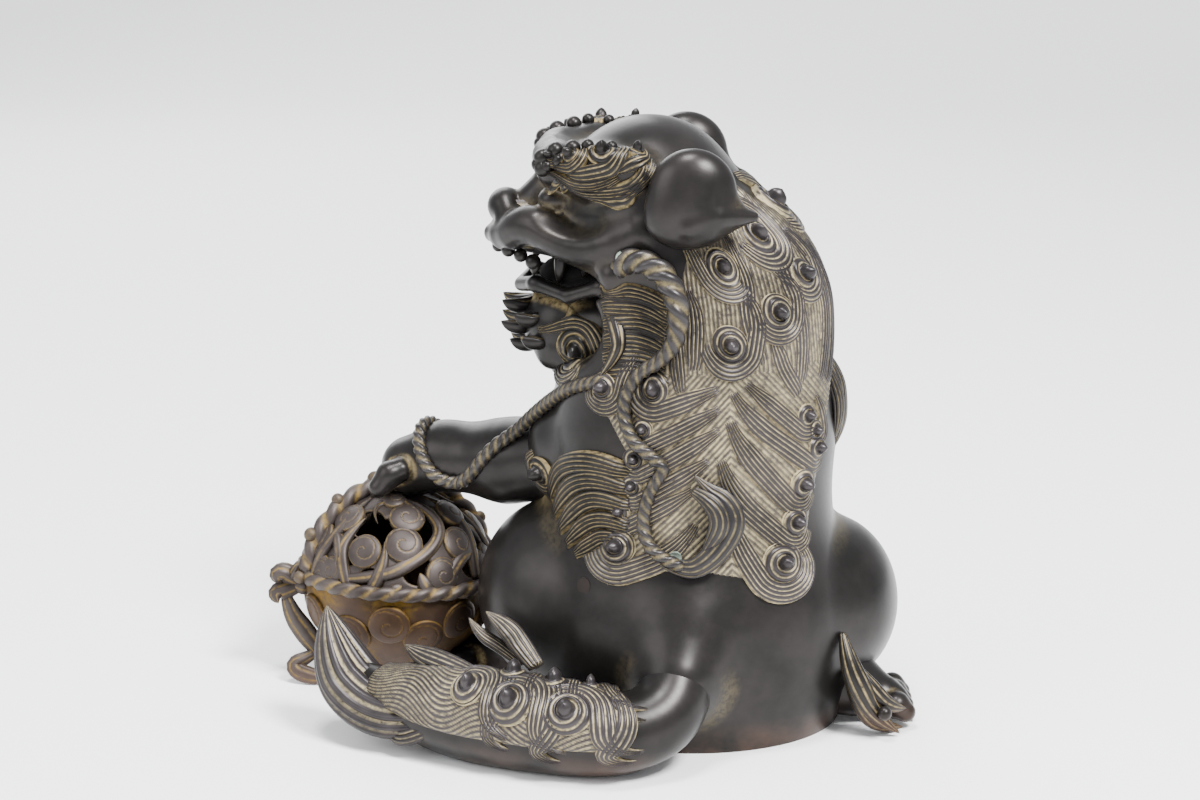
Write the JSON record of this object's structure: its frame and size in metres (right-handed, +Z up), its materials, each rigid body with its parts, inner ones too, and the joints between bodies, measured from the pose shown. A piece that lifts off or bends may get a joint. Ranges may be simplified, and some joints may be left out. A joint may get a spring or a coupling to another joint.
{
  "type": "guardian lion figurine",
  "caption": "Seated guardian lion figurine in hollow cast bronze, head turned and mouth open, one forepaw on an openwork ball with a twisted leash.",
  "frame": {"origin": "on the flat underside, under the middle of the body", "axes": "+Z up; +Y towards the figure's back; +X towards the figure's left, where the head looks and the ball lies"},
  "size_m": [0.274, 0.1872, 0.248],
  "materials": {
    "body_bronze": "dark brown patina, satin",
    "ball_bronze": "brown patina with ochre dust in the recesses",
    "plate_bronze": "rough filed, dark",
    "pin_brass": "drawn rod",
    "plug_copper": "filed flush, reddish",
    "solder": "dull grey-green"
  },
  "bodies": {
    "root": {"body_shell": "body_bronze", "base_plate": "plate_bronze", "head_shell": "body_bronze", "lower_jaw": "body_bronze", "left_ear": "body_bronze", "right_ear": "body_bronze", "left_foreleg": "body_bronze", "right_foreleg": "body_bronze", "left_hind_foot": "body_bronze", "right_hind_foot": "body_bronze", "tail": "body_bronze", "ball_upper_shell": "ball_bronze", "ball_lower_shell": "ball_bronze", "ball_equator_cord": "ball_bronze", "ball_meridian_cord": "ball_bronze", "ball_bow": "body_bronze", "ball_ribbon": "body_bronze", "lead_cord": "body_bronze", "lead_tassel": "body_bronze", "chest_cord": "body_bronze", "side_tassel": "body_bronze", "limb_dowels": "pin_brass", "tail_dowel": "pin_brass", "ball_rivet": "pin_brass", "ear_pins": "pin_brass", "jaw_pins": "pin_brass", "neck_pins": "pin_brass", "core_plugs": "plug_copper", "solder_pads": "solder"}
  },
  "joints": []
}
